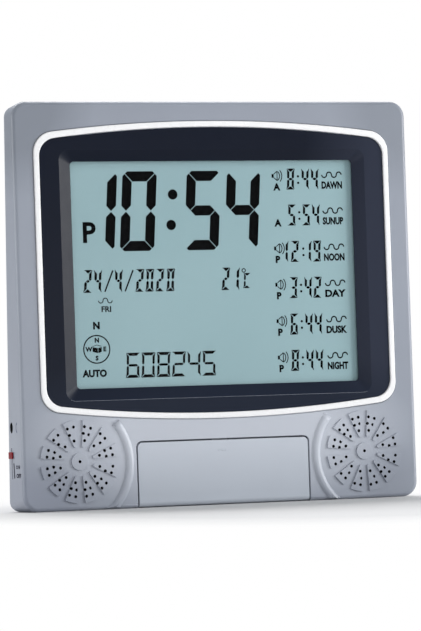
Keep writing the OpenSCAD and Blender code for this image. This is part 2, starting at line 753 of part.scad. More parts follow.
// Sheet contacts at both ends of the bay, each with a sprung dome for every cell it touches
module battery_contacts() color([0.8, 0.8, 0.82]) for (side = [-1, 1]) {
    groups = side > 0 ? [[0, 1], [2, 2]] : [[0, 0], [1, 2]];
    for (g = groups) {
        low = battery_first_z + g[0] * battery_pitch - 5.5;
        high = battery_first_z + g[1] * battery_pitch + 5.5;
        translate([side * (cell_bay_half_w - 0.35) - 0.25, battery_y - 5, low])
            cube([0.5, 10, high - low]);
    }
    for (i = [0 : 2])
        translate([side * (cell_bay_half_w - 0.4), battery_y, battery_first_z + i * battery_pitch])
            rotate([0, -side * 90, 0]) cylinder(r1 = 4, r2 = 2.2, h = 2.15);
    translate([side * (cell_bay_half_w + 0.8) - 1.3, battery_y - 1.8, cell_bay_high - 3.9])
        cube([2.6, 3.6, 0.5]);
}

module battery_leads() color([0.1, 0.1, 0.1]) both_sides()
    wire([for (p = battery_lead_route) [p[0], front_y + p[1], p[2]]], 0.6);

// ---- fasteners: a shank and a round head, driven from the rear ----

module screw(x, z, r, from, seat, head_r, head_h) difference() {
    union() {
        bar(x, z, r, from, seat + 0.1);
        bar(x, z, head_r, seat, seat + head_h);
    }
    for (turn = [0, 90]) translate([x, front_y + seat + head_h, z]) rotate([0, turn, 0])
        cube([head_r * 1.1, head_h * 0.9, head_r * 0.28], center = true);
}
module holder_screws() color([0.75, 0.75, 0.78]) both_sides() for (p = holder_screw_at)
    screw(p[0], p[1], 1.1, 4, holder_back + 0.02, 2.2, 1.3);
module board_screws() color([0.75, 0.75, 0.78]) both_sides() {
    for (p = board_screw_at) screw(p[0], p[1], 0.9, 6, board_back + 0.02, 1.9, 1.2);
    for (z = key_screw_z)
        screw(key_screw_x, z, 0.9, 6.5, key_board_front + key_board_t + 0.02, 1.8, 1.1);
}
module speaker_screws() color([0.75, 0.75, 0.78]) both_sides() for (a = [0, 180])
    screw(grille_x + speaker_screw_r * cos(speaker_screw_turn + a),
          grille_z + speaker_screw_r * sin(speaker_screw_turn + a), 0.9, 1.4, 4.42, 2, 1.2);
module case_screws() color([0.3, 0.3, 0.32]) both_sides() for (p = case_screw_at)
    screw(p[0], p[1], case_pilot_r, rear_y(p[1]) - front_y - 12, rear_y(p[1]) - front_y - 1.58,
          screw_head_r, 1.3);

front_case();
rear_case();
trim_ring();
display_bezel();
display_window();
lcd_glass();
backlight_panel();
lcd_holder();
contact_strips();
main_board();
sound_chip();
clock_chip();
capacitors();
left_speaker_basket();
left_speaker_cone();
left_speaker_magnet();
right_speaker_basket();
right_speaker_cone();
right_speaker_magnet();
speaker_leads();
speaker_screws();
keypad_door();
door_hinge_pins();
latch_body();
latch_plunger();
keypad_panel();
key_1();
key_2();
key_3();
key_4();
key_5();
key_6();
key_7();
key_8();
reset_button();
key_mat();
keypad_board();
jack_socket();
jack_contact_pin();
switch_body();
switch_knob();
battery_door();
battery_1();
battery_2();
battery_3();
battery_contacts();
battery_leads();
holder_screws();
board_screws();
case_screws();
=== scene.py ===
"""Looks of the prayer time clock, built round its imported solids.

Lengths are millimetres until a piece is finished, and X is to the right, Y to the rear and Z up.
A depth is a distance behind the front plane of the case.
"""

import math

import bmesh
import bpy
from mathutils import Matrix, Vector


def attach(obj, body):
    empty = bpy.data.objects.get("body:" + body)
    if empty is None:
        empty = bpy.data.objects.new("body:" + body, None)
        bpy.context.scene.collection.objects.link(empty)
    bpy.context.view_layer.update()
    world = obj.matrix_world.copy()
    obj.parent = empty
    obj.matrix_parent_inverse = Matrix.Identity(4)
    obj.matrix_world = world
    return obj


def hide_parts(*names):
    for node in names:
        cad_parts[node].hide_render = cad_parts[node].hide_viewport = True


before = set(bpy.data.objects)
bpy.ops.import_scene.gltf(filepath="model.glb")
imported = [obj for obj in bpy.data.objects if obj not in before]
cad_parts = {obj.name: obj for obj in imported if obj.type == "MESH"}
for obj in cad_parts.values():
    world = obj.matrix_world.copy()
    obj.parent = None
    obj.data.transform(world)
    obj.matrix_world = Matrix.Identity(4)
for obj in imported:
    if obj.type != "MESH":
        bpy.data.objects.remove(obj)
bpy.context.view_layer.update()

MM = 0.001
NEAR = 0.02
SKIN = 0.1
FRONT_Y = -15.75
ROUNDING = {"wedge": 0.4, "bay": 0.4, "jack": 0.25, "ring": 0.55, "recess": 0.5, "door": 0.35, "key": 0.45}

# display
RING = {"half_w": 98.9, "low": 44.7, "high": 198.8, "low_r": 746.5, "high_r": 746.5, "corner": 11}
BAND = {"half_w": 96.0, "low": 47.7, "high": 195.8, "low_r": 722, "high_r": 689, "corner": 9.5}
RING_PROUD = 0.8
RING_BACK = 1.58
LCD_FRONT = 5.1
LCD_PRINT = LCD_FRONT - 0.01
RECESS = {"brim": 0.1, "near": 0.03, "half_w": 86, "rounded_to": 0.7, "outward": 0.05, "upward": 0.25}
WINDOW = {"depth": 2.5, "half_w": 80, "top": 186, "right": 1.0, "up": 1.0}
WINDOW_EDGE = {"right_from": 70, "upper_from": 150}

# grille and keypad
GRILLE = {"x": 79.4, "z": 24.9, "r": 21.5, "wall": 3, "facet_area": 1}
WEDGE_RISE = 0.7
WEDGE_EDGE = 0.4
BAY_HALF_W = 48.2
BAY_TOP = 34.2
DOOR_PANEL = {"thick": 2.3, "low": 4.9, "edge": 0.2}
KEY_PITCH = 19.5
KEY_FIRST_X = -33.75
KEY_ROW_Z = (21.2, 11.0)
KEY_FRONT = 3.4

# left side
WALL_X = -110.183
WALL_LEAN = math.atan(0.0835)
WALL_PRINT = {"lift": 0.01, "thick": 0.02}
JACK = {"depth": 20.3, "z": 43.2, "r": 2.8, "outside_x": -108, "near": 0.05}
BARREL = {"x": -108.3, "length": 8, "over": 0.02, "wall": 0.16}

# batteries
CELLS = {"y": 2.5, "first_z": 17.4, "pitch": 15}
SPRING = {"wide": 4.6, "narrow": 3.0, "length": 1.39, "turns": 2, "wire": 0.28}
SPRING_X = 26.72

# view, floor and lamps, in metres, degrees and watts
CAMERA = {"place": (-0.709449, -1.770007, 0.045041), "lens": 208.51,
          "round": -21.882968, "rise": 91.599908, "roll": -1.955314}
SHADOW = {"stretch": (2.3, 1, 1), "shift": (0.03, 0.1, 0), "full": 0.24, "gone": 0.42}
SEEN_FLOOR = (0.61, 0.61, 0.615, 1)
LAMPS = (
    ("right_key", (1.62, -0.86, 0.42), (0, 0, 0.1), (0.8, 0.8), 25),
    ("left_softbox", (-1.75, 0.12, 0.3), (0, 0, 0.1), (0.9, 0.9), 13),
    ("rear_softbox", (0, 0.75, 1.3), (0, -0.1, 0), (1.4, 0.8), 25),
    ("top_strip", (-0.2, -0.9, 1.6), (0, 0, 0.1), (1.2, 0.3), 4.5),
    ("low_fill", (0, -0.5, 0.1), (0, 0, 0.03), (0.4, 0.1), 0.25))


# ---- camera ----


def add_camera():
    """The photograph's view: a long lens a little below the middle, off to the clock's left."""
    camera = bpy.data.objects.new("camera", bpy.data.cameras.new("camera"))
    turn = Matrix.Identity(4)
    for angle, axis in (("round", "Z"), ("rise", "X"), ("roll", "Z")):
        turn = turn @ Matrix.Rotation(math.radians(CAMERA[angle]), 4, axis)
    camera.matrix_world = Matrix.Translation(CAMERA["place"]) @ turn
    camera.data.sensor_width = 36
    camera.data.lens = CAMERA["lens"]
    camera.data.clip_start = 0.05
    camera.data.clip_end = 50
    bpy.context.scene.collection.objects.link(camera)
    bpy.context.scene.camera = camera


add_camera()


# ---- materials: every pattern is on Object coordinates, in metres ----


def srgb(red, green, blue):
    """A colour as a screen shows it, 0 to 255, as the linear colour of a shader."""
    def linear(c):
        c /= 255
        return c / 12.92 if c <= 0.04045 else ((c + 0.055) / 1.055) ** 2.4
    return (linear(red), linear(green), linear(blue), 1)


def tinted(colour, factor):
    return tuple(min(1, c * factor) for c in colour[:3]) + (1,)


SURFACE = "_surface"


class Finish:
    """A material under construction: its nodes, its shader and its object coordinates."""

    def __init__(self, name, **constants):
        self.material = bpy.data.materials.new(name + SURFACE)
        self.material.use_nodes = True
        self.nodes = self.material.node_tree.nodes
        self.links = self.material.node_tree.links
        self.shader = self.nodes["Principled BSDF"]
        self.place = self.nodes.new("ShaderNodeTexCoord").outputs["Object"]
        for socket, value in constants.items():
            self.shader.inputs[socket.replace("_", " ")].default_value = value

    def node(self, kind, inputs=None, **settings):
        """A new node with its settings made, and each input linked to a socket or set to a value."""
        made = self.nodes.new(kind)
        for setting, value in settings.items():
            setattr(made, setting, value)
        for socket, value in (inputs or {}).items():
            if isinstance(value, bpy.types.NodeSocket):
                self.links.new(value, made.inputs[socket])
            else:
                made.inputs[socket].default_value = value
        return made

    def noise(self, per_metre, detail=2.0, stretch=(1, 1, 1)):
        place = self.place
        if stretch != (1, 1, 1):
            place = self.node("ShaderNodeMapping", {"Vector": place, "Scale": stretch}).outputs[0]
        made = self.node("ShaderNodeTexNoise", {"Vector": place, "Scale": per_metre, "Detail": detail})
        return made.outputs["Fac"]

    def ramp(self, factor, *stops):
        """Colours at places along a factor."""
        made = self.node("ShaderNodeValToRGB", {"Fac": factor})
        marks = made.color_ramp.elements
        while len(marks) < len(stops):
            marks.new(0.5)
        for mark, (place, colour) in zip(marks, stops):
            mark.position = place
            mark.color = colour
        return made.outputs["Color"]

    def mix(self, factor, low, high):
        """Two colours mixed: the low one at 0 and the high one at 1."""
        return self.node("ShaderNodeMix", {0: factor, 6: low, 7: high}, data_type="RGBA").outputs[2]

    def span(self, value, to_low, to_high, low=0.3, high=0.7):
        """A value drawn out from one range to another, and held at its ends."""
        inputs = {"Value": value, "From Min": low, "From Max": high, "To Min": to_low, "To Max": to_high}
        return self.node("ShaderNodeMapRange", inputs).outputs["Result"]

    def maths(self, operation, *values):
        return self.node("ShaderNodeMath", dict(enumerate(values)), operation=operation).outputs[0]

    def axis(self, name):
        return self.node("ShaderNodeSeparateXYZ", {"Vector": self.place}).outputs[name]

    def spot(self, x, z, reach_x, reach_z, full=0.5):
        """1 round a place in the front view, falling to 0 at its reach, all in millimetres."""
        scale = (1 / (reach_x * MM), 0, 1 / (reach_z * MM))
        start = (-x / reach_x, 0, -z / reach_z)
        moved = self.node("ShaderNodeMapping", {"Vector": self.place, "Location": start, "Scale": scale})
        fall = self.node("ShaderNodeTexGradient", {"Vector": moved.outputs[0]}, gradient_type="SPHERICAL")
        return self.span(fall.outputs["Fac"], 0, 1, 0, full)

    def colour(self, socket):
        self.links.new(socket, self.shader.inputs["Base Color"])

    def roughness(self, socket):
        self.links.new(socket, self.shader.inputs["Roughness"])

    def bump(self, height, depth, strength=1.0):
        inputs = {"Height": height, "Distance": depth * MM, "Strength": strength}
        made = self.node("ShaderNodeBump", inputs)
        self.links.new(made.outputs["Normal"], self.shader.inputs["Normal"])


def moulded(name, colour, rough=0.42, grain=0.02, grain_scale=2600, spread=0.03, painted_light_tones=(), **constants):
    """Moulded plastic: spark-eroded grain, slow colour drift, uneven gloss and broad painted light and shade.
    """
    finish = Finish(name, **constants)
    drift = finish.noise(18, 3)
    shade = finish.ramp(drift, (0.3, tinted(colour, 1 - spread)), (0.7, tinted(colour, 1 + spread)))
    # Painted light and painted shade: each tone is mixed in round its spot.
    for tone, where in painted_light_tones:
        shade = finish.mix(finish.spot(*where), shade, tone)
    finish.colour(shade)
    fine = finish.noise(grain_scale, 2)
    finish.roughness(finish.span(finish.noise(140, 4), rough - 0.02, rough + 0.02))
    finish.bump(fine, grain)
    return finish.material


def metal(name, colour, rough=0.3, brushed=(1, 1, 1), scale=900):
    """Bare metal with fine marks and a slightly uneven tone."""
    finish = Finish(name, Metallic=1.0)
    marks = finish.noise(scale, 4, brushed)
    finish.colour(finish.ramp(marks, (0.25, tinted(colour, 0.86)), (0.75, tinted(colour, 1.08))))
    finish.roughness(finish.span(marks, rough - 0.08, rough + 0.12))
    finish.bump(marks, 0.01)
    return finish.material


def board_finish(name):
    """Green board: solder mask over a grid of faint copper tracks."""
    finish = Finish(name)
    tracks = finish.node("ShaderNodeTexBrick", {
        "Vector": finish.place, "Color1": (0, 0, 0, 1), "Color2": (0.2, 0.2, 0.2, 1), "Mortar": (1, 1, 1, 1),
        "Scale": 90.0, "Mortar Size": 0.02, "Brick Width": 0.7, "Row Height": 0.2})
    mask = finish.ramp(finish.noise(60, 2), (0.3, srgb(18, 84, 52)), (0.7, srgb(24, 98, 60)))
    finish.colour(finish.mix(tracks.outputs["Color"], mask, srgb(58, 132, 84)))
    finish.roughness(finish.span(finish.noise(300, 2), 0.3, 0.42))
    return finish.material


def lcd_finish():
    """The grey-green face of the display, faintly speckled."""
    finish = Finish("lcd_face", Specular_IOR_Level=0.25)
    speckle = finish.noise(2200, 2)
    tone = finish.noise(9, 2)
    low, high = srgb(161, 193, 199), srgb(168, 199, 205)
    base = finish.ramp(tone, (0.3, low), (0.7, high))
    finish.colour(finish.mix(finish.span(speckle, 0.0, 0.12), base, srgb(150, 182, 188)))
    finish.roughness(finish.span(speckle, 0.42, 0.5))
    return finish.material


def lens_finish():
    """A thin clear window that lets the display through nearly unchanged."""
    finish = Finish("clear_lens", Alpha=0.04, IOR=1.49)
    finish.colour(finish.ramp(finish.noise(30, 2), (0.3, srgb(20, 26, 28)), (0.7, srgb(30, 36, 38))))
    finish.roughness(finish.span(finish.noise(60, 2), 0.05, 0.1))
    return finish.material


def cell_finish(name, studward):
    """A battery sleeve: a dark body, a light band towards the studded end and bare metal at the ends."""
    finish = Finish(name)
    along = finish.maths("MULTIPLY", finish.axis("X"), studward)
    side = finish.maths("ABSOLUTE", along)
    band = finish.ramp(finish.span(along, 0, 1, -0.025, 0.025),
                       (0.0, srgb(38, 84, 70)), (0.68, srgb(38, 84, 70)), (0.69, srgb(196, 200, 190)))
    sleeve = finish.maths("LESS_THAN", side, 0.0241)
    worn = finish.mix(finish.span(finish.noise(500, 4), 0, 0.2), band, srgb(24, 50, 44))
    finish.colour(finish.mix(sleeve, srgb(198, 198, 200), worn))
    finish.links.new(finish.maths("SUBTRACT", 1.0, sleeve), finish.shader.inputs["Metallic"])
    finish.roughness(finish.span(finish.noise(400, 3), 0.26, 0.4))
    return finish.material


def rubber(name, colour, rough=0.6):
    return moulded(name, colour, rough, grain=0.015, grain_scale=1800, spread=0.05)


# Painted light and shade: a lighter spot on the lower middle of the front, darker top corners and slightly
# darker bottom corners.
CASE = moulded("case_plastic", srgb(152, 158, 170), rough=0.4, grain=0.012, grain_scale=2400, painted_light_tones=(
    (srgb(197, 202, 212), (0, 38, 110, 42)),
    (srgb(134, 140, 151), (-110, 209, 45, 50)),
    (srgb(140, 146, 157), (110, 209, 45, 50)),
    (srgb(140, 146, 160), (-110, 0, 40, 30)),
    (srgb(142, 148, 160), (110, 0, 40, 30))))
# Painted light: the door is lighter towards its top and fades downward.
DOOR = moulded("door_plastic", srgb(180, 187, 197), rough=0.4, grain=0.012, grain_scale=2400, painted_light_tones=(
    (srgb(202, 208, 218), (0, 42, 300, 36, 0.8)),))
REAR = moulded("rear_plastic", srgb(150, 156, 168), rough=0.5, grain=0.05, grain_scale=1500)
TRIM = moulded("trim_white", srgb(254, 254, 255), rough=0.28, grain=0.002, spread=0.005)
# Painted reflection and light: the frame is lighter towards its right side, and painted light makes its lower
# part lighter.
BEZEL = moulded("bezel_navy", srgb(18, 24, 38), rough=0.36, grain=0.004, grain_scale=2800, spread=0.05,
                Specular_IOR_Level=0.12, painted_light_tones=(
                    (srgb(46, 51, 66), (118, 100, 70, 260)),
                    (srgb(30, 37, 52), (0, 40, 160, 40))))
# Painted highlight: a light colour for the rounding along the lower edge of the display recess.
BEZEL_HIGHLIGHT = moulded("bezel_painted_highlight", srgb(176, 182, 194), rough=0.25, spread=0.04, Specular_IOR_Level=0.5)
LENS = lens_finish()
LCD = lcd_finish()
INK = moulded("lcd_segments", srgb(5, 5, 6), rough=0.5, grain=0.002, spread=0.2, Specular_IOR_Level=0.03)
LIGHT_PANEL = moulded("light_panel", srgb(226, 234, 236), rough=0.35)
BLACK = moulded("black_plastic", srgb(26, 27, 30), rough=0.45, grain=0.03, grain_scale=1600, spread=0.08)
STRIP = rubber("strip_rubber", srgb(186, 104, 136))
BOARD = board_finish("board_green")
CAPACITOR = moulded("capacitor_sleeve", srgb(34, 44, 104), rough=0.3)
STEEL = metal("speaker_steel", srgb(148, 148, 152), rough=0.36)
SCREW = metal("screw_steel", srgb(176, 176, 180), rough=0.28, scale=1500)
BLACK_SCREW = metal("black_screw", srgb(62, 62, 66), rough=0.4, scale=1500)
# Painted shade: near-black walls in the grilles' sound holes stand in for the shade inside them.
HOLE_SHADE = moulded("sound_hole", srgb(14, 15, 18), rough=0.7, spread=0.1, Specular_IOR_Level=0.05)
SIDE_PRINT = moulded("side_print", srgb(30, 28, 44), rough=0.6, spread=0.08, Specular_IOR_Level=0.02)
LEAD = rubber("lead_sleeve", srgb(168, 24, 26), 0.4)
LATCH = moulded("latch_plastic", srgb(222, 222, 216), rough=0.38)
PLUNGER = moulded("plunger_plastic", srgb(84, 86, 92), rough=0.4)
PANEL = moulded("panel_plastic", srgb(132, 138, 152), rough=0.5, grain=0.03, grain_scale=1700)
KEY = rubber("key_rubber", srgb(214, 217, 224), 0.55)
PRINT = moulded("key_print", srgb(52, 56, 70), rough=0.5, spread=0.12)
RESET = moulded("reset_red", srgb(190, 36, 34), rough=0.42)
KNOB = moulded("knob_red", srgb(120, 4, 22), rough=0.34, grain=0.01, spread=0.06, Specular_IOR_Level=0.15)
FAINT_PRINT = moulded("faint_print", srgb(88, 94, 120), rough=0.5, spread=0.04, Specular_IOR_Level=0.1)
CONTACT = metal("contact_metal", srgb(196, 194, 186), rough=0.26, brushed=(1, 1, 6))
CELL = cell_finish("battery_label", 1)
TURNED_CELL = cell_finish("battery_label_turned", -1)
PAPER = rubber("cone_paper", srgb(36, 36, 38), 0.75)


# ---- making pieces ----


def finished(name, bm, material, body="clock", stands_for=(), sharp=38, weighted=True,
             second=None):
    """Brings a mesh in millimetres to a finished piece that rides on its body.

    A second material is for the faces whose material index is 1.
    """
    bmesh.ops.scale(bm, vec=(MM, MM, MM), verts=bm.verts)
    mesh = bpy.data.meshes.new(name)
    bm.to_mesh(mesh)
    bm.free()
    mesh.materials.append(material)
    if second:
        mesh.materials.append(second)
    mesh.shade_smooth()
    mesh.set_sharp_from_angle(angle=math.radians(sharp))
    made = bpy.data.objects.new(name, mesh)
    bpy.context.scene.collection.objects.link(made)
    if weighted:
        made.modifiers.new("weighted_normals", "WEIGHTED_NORMAL").keep_sharp = True
    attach(made, body)
    if stands_for:
        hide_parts(*stands_for)


def solid_of(node):
    """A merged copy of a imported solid, in millimetres, with its flat faces whole again."""
    bm = bmesh.new()
    bm.from_mesh(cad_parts[node].data)
    bmesh.ops.scale(bm, vec=(1 / MM, 1 / MM, 1 / MM), verts=bm.verts)
    bmesh.ops.remove_doubles(bm, verts=bm.verts, dist=0.002)
    bmesh.ops.dissolve_limit(bm, angle_limit=math.radians(0.4), verts=bm.verts, edges=bm.edges)
    return bm


def corner_edges(bm, sharper_than=50, keep=lambda edge: True):
    """The edges where two faces meet at more than an angle, and that a test keeps."""
    limit = math.radians(sharper_than)
    return [e for e in bm.edges if len(e.link_faces) == 2 and e.calc_face_angle(0) > limit and keep(e)]


def soften(bm, edges, width, segments=2):
    if edges:
        bmesh.ops.bevel(bm, geom=edges, offset=width, affect="EDGES", segments=segments, profile=0.5,
                        material=-1, clamp_overlap=True)


def depth_of(vert):
    return vert.co.y - FRONT_Y


def softened(node, material, body="clock", width=0.2, segments=2):
    """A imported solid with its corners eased, standing for its node."""
    bm = solid_of(node)
    soften(bm, corner_edges(bm), width, segments)
    finished(node + "_piece", bm, material, body, (node,))


def drawn_out(bm, faces, vec):
    """Draws faces out along a vector, with walls behind their rims."""
    made = bmesh.ops.extrude_face_region(bm, geom=faces)["geom"]
    bmesh.ops.translate(bm, verts=[g for g in made if isinstance(g, bmesh.types.BMVert)], vec=vec)
    bmesh.ops.recalc_face_normals(bm, faces=bm.faces)


def arc_points(cx, cz, r, start, end, steps):
    """Points on an arc in the front view, from one angle to another."""
    turns = [math.radians(start + (end - start) * i / steps) for i in range(steps + 1)]
    return [(cx + r * math.cos(a), cz + r * math.sin(a)) for a in turns]


def bowed_outline(half_w, low, high, low_r, high_r, corner, grow=0.0, steps=10, bow_steps=24):
    """Straight sides, a shallow arc above and below, and round corners that touch both."""
    half_w, low, high = half_w + grow, low - grow, high + grow
    low_r, high_r, corner = low_r + grow, high_r + grow, corner + grow
    cx, high_c, low_c = half_w - corner, high - high_r, low + low_r
    high_z = high_c + math.sqrt((high_r - corner) ** 2 - cx * cx)
    low_z = low_c - math.sqrt((low_r - corner) ** 2 - cx * cx)
    high_a = math.degrees(math.atan2(high_z - high_c, cx))
    low_a = math.degrees(math.atan2(low_c - low_z, cx))
    points = arc_points(cx, low_z, corner, -low_a, 0, steps)
    points += arc_points(cx, high_z, corner, 0, high_a, steps)
    points += arc_points(0, high_c, high_r, high_a, 180 - high_a, bow_steps)[1:-1]
    points += arc_points(-cx, high_z, corner, 180 - high_a, 180, steps)
    points += arc_points(-cx, low_z, corner, 180, 180 + low_a, steps)
    points += arc_points(0, low_c, low_r, 180 + low_a, 360 - low_a, bow_steps)[1:-1]
    return points


def closed_loop(bm, places):
    verts = [bm.verts.new(place) for place in places]
    return [bm.edges.new(ends) for ends in zip(verts, verts[1:] + verts[:1])]


def loop_at(bm, points, depth):
    """A closed ring of edges in the front view at one depth."""
    return closed_loop(bm, [(x, FRONT_Y + depth, z) for x, z in points])


# ---- case ----


def front_case():
    bm = solid_of("front_case")
    top = FRONT_Y - WEDGE_RISE

    def on_wedge_top(edge):
        return edge.calc_length() > WEDGE_EDGE and all(abs(v.co.y - top) < NEAR for v in edge.verts)

    soften(bm, corner_edges(bm, 60, on_wedge_top), ROUNDING["wedge"], 3)

    def on_bay_rim(edge):
        return all(abs(v.co.y - FRONT_Y) < NEAR and v.co.z < BAY_TOP + SKIN
                   and abs(v.co.x) < BAY_HALF_W + SKIN for v in edge.verts)

    soften(bm, corner_edges(bm, 60, on_bay_rim), ROUNDING["bay"], 3)

    def on_jack_rim(edge):
        away = [math.hypot(depth_of(v) - JACK["depth"], v.co.z - JACK["z"]) for v in edge.verts]
        outside = all(v.co.x < JACK["outside_x"] for v in edge.verts)
        return outside and all(abs(r - JACK["r"]) < JACK["near"] for r in away)

    soften(bm, corner_edges(bm, 60, on_jack_rim), ROUNDING["jack"], 2)
    mark_sound_holes(bm)
    finished("front_case_shell", bm, CASE, stands_for=("front_case",), second=HOLE_SHADE)


def mark_sound_holes(bm):
    """Gives the walls of the grilles' holes the second material, a near-black painted shade for the shade
    down the holes.
    """
    for face in bm.faces:
        depths = [depth_of(v) for v in face.verts]
        middle = face.calc_center_median()
        through = min(depths) < SKIN and max(depths) > GRILLE["wall"] - SKIN
        near = math.hypot(abs(middle.x) - GRILLE["x"], middle.z - GRILLE["z"]) < GRILLE["r"]
        if through and near and face.calc_area() < GRILLE["facet_area"]:
            face.material_index = 1


def rear_case():
    finished("rear_case_shell", solid_of("rear_case"), REAR, stands_for=("rear_case",))


# ---- display ----


def trim_ring():
    """A raised white band with a rounded crown."""
    bm = bmesh.new()
    outer = loop_at(bm, bowed_outline(**RING), RING_BACK)
    inner = loop_at(bm, bowed_outline(**BAND), RING_BACK)
    flat = bmesh.ops.bridge_loops(bm, edges=outer + inner)["faces"]
    drawn_out(bm, flat, (0, -RING_BACK - RING_PROUD, 0))

    def on_crown(edge):
        return all(depth_of(v) < NEAR - RING_PROUD for v in edge.verts)

    soften(bm, corner_edges(bm, 60, on_crown), ROUNDING["ring"], 4)
    finished("trim_ring_band", bm, TRIM, stands_for=("trim_ring",))


def display_bezel():
    """The dark frame, its window edge moved a little and a painted highlight on the rounding along the lower
    edge of its recess.
    """
    bm = solid_of("display_bezel")

    def on_recess_brim(edge):
        return all(abs(depth_of(v) - RECESS["brim"]) < RECESS["near"] and abs(v.co.x) < RECESS["half_w"]
                   for v in edge.verts)

    for v in bm.verts:
        if depth_of(v) > WINDOW["depth"] and abs(v.co.x) < WINDOW["half_w"] and v.co.z < WINDOW["top"]:
            v.co.x += WINDOW["right"] if v.co.x > WINDOW_EDGE["right_from"] else 0
            v.co.z += WINDOW["up"] if v.co.z > WINDOW_EDGE["upper_from"] else 0
    soften(bm, corner_edges(bm, 12, on_recess_brim), ROUNDING["recess"], 3)
    bm.normal_update()
    # Painted highlight: the brim's rounding faces that face up and out take the light second material.
    for face in bm.faces:
        depths = [depth_of(v) for v in face.verts]
        rounding = min(depths) > RECESS["brim"] / 2 and max(depths) < RECESS["rounded_to"]
        facing = face.normal.y < -RECESS["outward"] and face.normal.z > RECESS["upward"]
        if rounding and facing:
            face.material_index = 1
    finished("display_bezel_frame", bm, BEZEL, stands_for=("display_bezel",), second=BEZEL_HIGHLIGHT)


SEGMENTS = {
    "0": "abcdef", "1": "bc", "2": "abged", "3": "abgcd", "4": "fgbc", "5": "afgcd",
    "6": "afgecd", "7": "abc", "8": "abcdefg", "9": "abcdfg", "-": "g", "C": "afed",
}


def segment_shapes(wide, high, thick, chamfer):
    """The outlines of the seven segments of a digit, on its own box."""
    t, c, mid = thick, chamfer, high / 2
    upper_left = [(0, high - c), (c / 2, high - c / 2), (t, high - t), (t, mid + t / 2), (t / 2, mid),
                  (0, mid + t / 2)]
    top = [(c, high), (wide - c, high), (wide - c / 2, high - c / 2), (wide - t, high - t), (t, high - t),
           (c / 2, high - c / 2)]
    middle = [(t / 2, mid), (t, mid + t / 2), (wide - t, mid + t / 2), (wide - t / 2, mid),
              (wide - t, mid - t / 2), (t, mid - t / 2)]

    def flipped(points, across=False, down=False):
        return [(wide - x if across else x, high - z if down else z) for x, z in points]

    return {"a": top, "b": flipped(upper_left, True), "c": flipped(upper_left, True, True),
            "d": flipped(top, False, True), "e": flipped(upper_left, False, True), "f": upper_left,
            "g": middle}


class Print:
    """Flat marks of one piece, drawn in the front view and given a hair of thickness."""

    def __init__(self):
        self.bm = bmesh.new()

    def patch(self, points, gap=0.0):
        """A flat face inside an outline, drawn in from it by a gap."""
        verts = [self.bm.verts.new((x, 0, z)) for x, z in points]
        face = self.bm.faces.new(verts)
        if gap:
            face.normal_update()
            rim = bmesh.ops.inset_individual(self.bm, faces=[face], thickness=gap)["faces"]
            bmesh.ops.delete(self.bm, geom=rim, context="FACES")

    def digit(self, sign, left, low, wide, high, thick, gap, slant=0.07, chamfer=0.0):
        """A seven-segment digit whose strokes keep their size outside and part by two gaps."""
        shapes = segment_shapes(wide + 2 * gap, high + 2 * gap, thick + 2 * gap, chamfer)
        for segment in SEGMENTS[sign]:
            self.patch([(left - gap + x + slant * (z - gap), low - gap + z) for x, z in shapes[segment]], gap)

    def bar(self, x1, z1, x2, z2, thick):
        """A straight stroke with square ends."""
        run = Vector((x2 - x1, z2 - z1)).normalized() * thick / 2
        side = Vector((-run.y, run.x))
        self.patch([(x1 - side.x, z1 - side.y), (x2 - side.x, z2 - side.y),
                    (x2 + side.x, z2 + side.y), (x1 + side.x, z1 + side.y)])

    def disc(self, x, z, r, sides=20):
        self.patch(arc_points(x, z, r, 0, 360, sides)[:-1])

    def stroke(self, x, z, r, start, end, thick, steps=16):
        """A curved stroke about a centre."""
        outside = arc_points(x, z, r + thick / 2, start, end, steps)
        inside = arc_points(x, z, r - thick / 2, start, end, steps)
        for i in range(steps):
            self.patch([outside[i], outside[i + 1], inside[i + 1], inside[i]])

    def wave(self, x, z, r, humps, thick=0.7):
        """A plain wavy rule, its humps side by side from a left end."""
        for hump in range(humps):
            start = 0 if hump % 2 else 180
            self.stroke(x + r + 2 * r * hump, z, r, start, start + 180, thick, 8)

    def word(self, signs, x, z, high, thick=0.0, fit=None):
        """Plain letters or numbers, their left edge and foot at x and z, drawn out to any width given."""
        curve = bpy.data.curves.new("word", "FONT")
        curve.body = signs
        curve.size = high / 0.72
        curve.offset = thick
        curve.resolution_u = 3
        holder = bpy.data.objects.new("word", curve)
        bpy.context.scene.collection.objects.link(holder)
        bpy.context.view_layer.update()
        flat = bpy.data.meshes.new_from_object(holder)
        bpy.data.objects.remove(holder)
        before = len(self.bm.verts)
        self.bm.from_mesh(flat)
        bpy.data.meshes.remove(flat)
        self.bm.verts.ensure_lookup_table()
        fresh = self.bm.verts[before:]
        left, right = min(v.co.x for v in fresh), max(v.co.x for v in fresh)
        foot = min(v.co.y for v in fresh)
        wide = fit / (right - left) if fit else 1
        for v in fresh:
            v.co = Vector((x + (v.co.x - left) * wide, 0, z + v.co.y - foot))

    def finish(self, name, material, depth, thick=0.03, body="clock", slot=None, turn=None):
        """Merges the marks, gives them their thickness and sets them at a depth or on a turned wall."""
        bm = self.bm
        bmesh.ops.remove_doubles(bm, verts=bm.verts, dist=0.001)
        drawn_out(bm, bm.faces[:], (0, -thick, 0))
        bmesh.ops.translate(bm, verts=bm.verts, vec=(0, FRONT_Y + depth, 0))
        if turn:
            bmesh.ops.transform(bm, matrix=turn, verts=bm.verts)
        finished(name, bm, material, body, sharp=30, weighted=False)


def big_time():
    """The time of day in large slanted digits, with its half-day letter."""
    marks = Print()
    low, high, thick, gap = 132.1, 41.1, 5.2, 0.22
    for sign, left, wide in (("1", -74.8, 20.0), ("0", -51.8, 18.9), ("5", -16.2, 19.1), ("4", 6.3, 18.7)):
        marks.digit(sign, left, low, wide, high, thick, gap, slant=0.072, chamfer=2.6)
    for x, z in ((-21.6, 161.1), (-23.0, 145.3)):
        marks.disc(x, z, 2.65, 28)
    marks.word("P", -71.7, 136.6, 10.5, 0.4)
    marks.finish("display_time", INK, LCD_PRINT, slot="black_plastic")


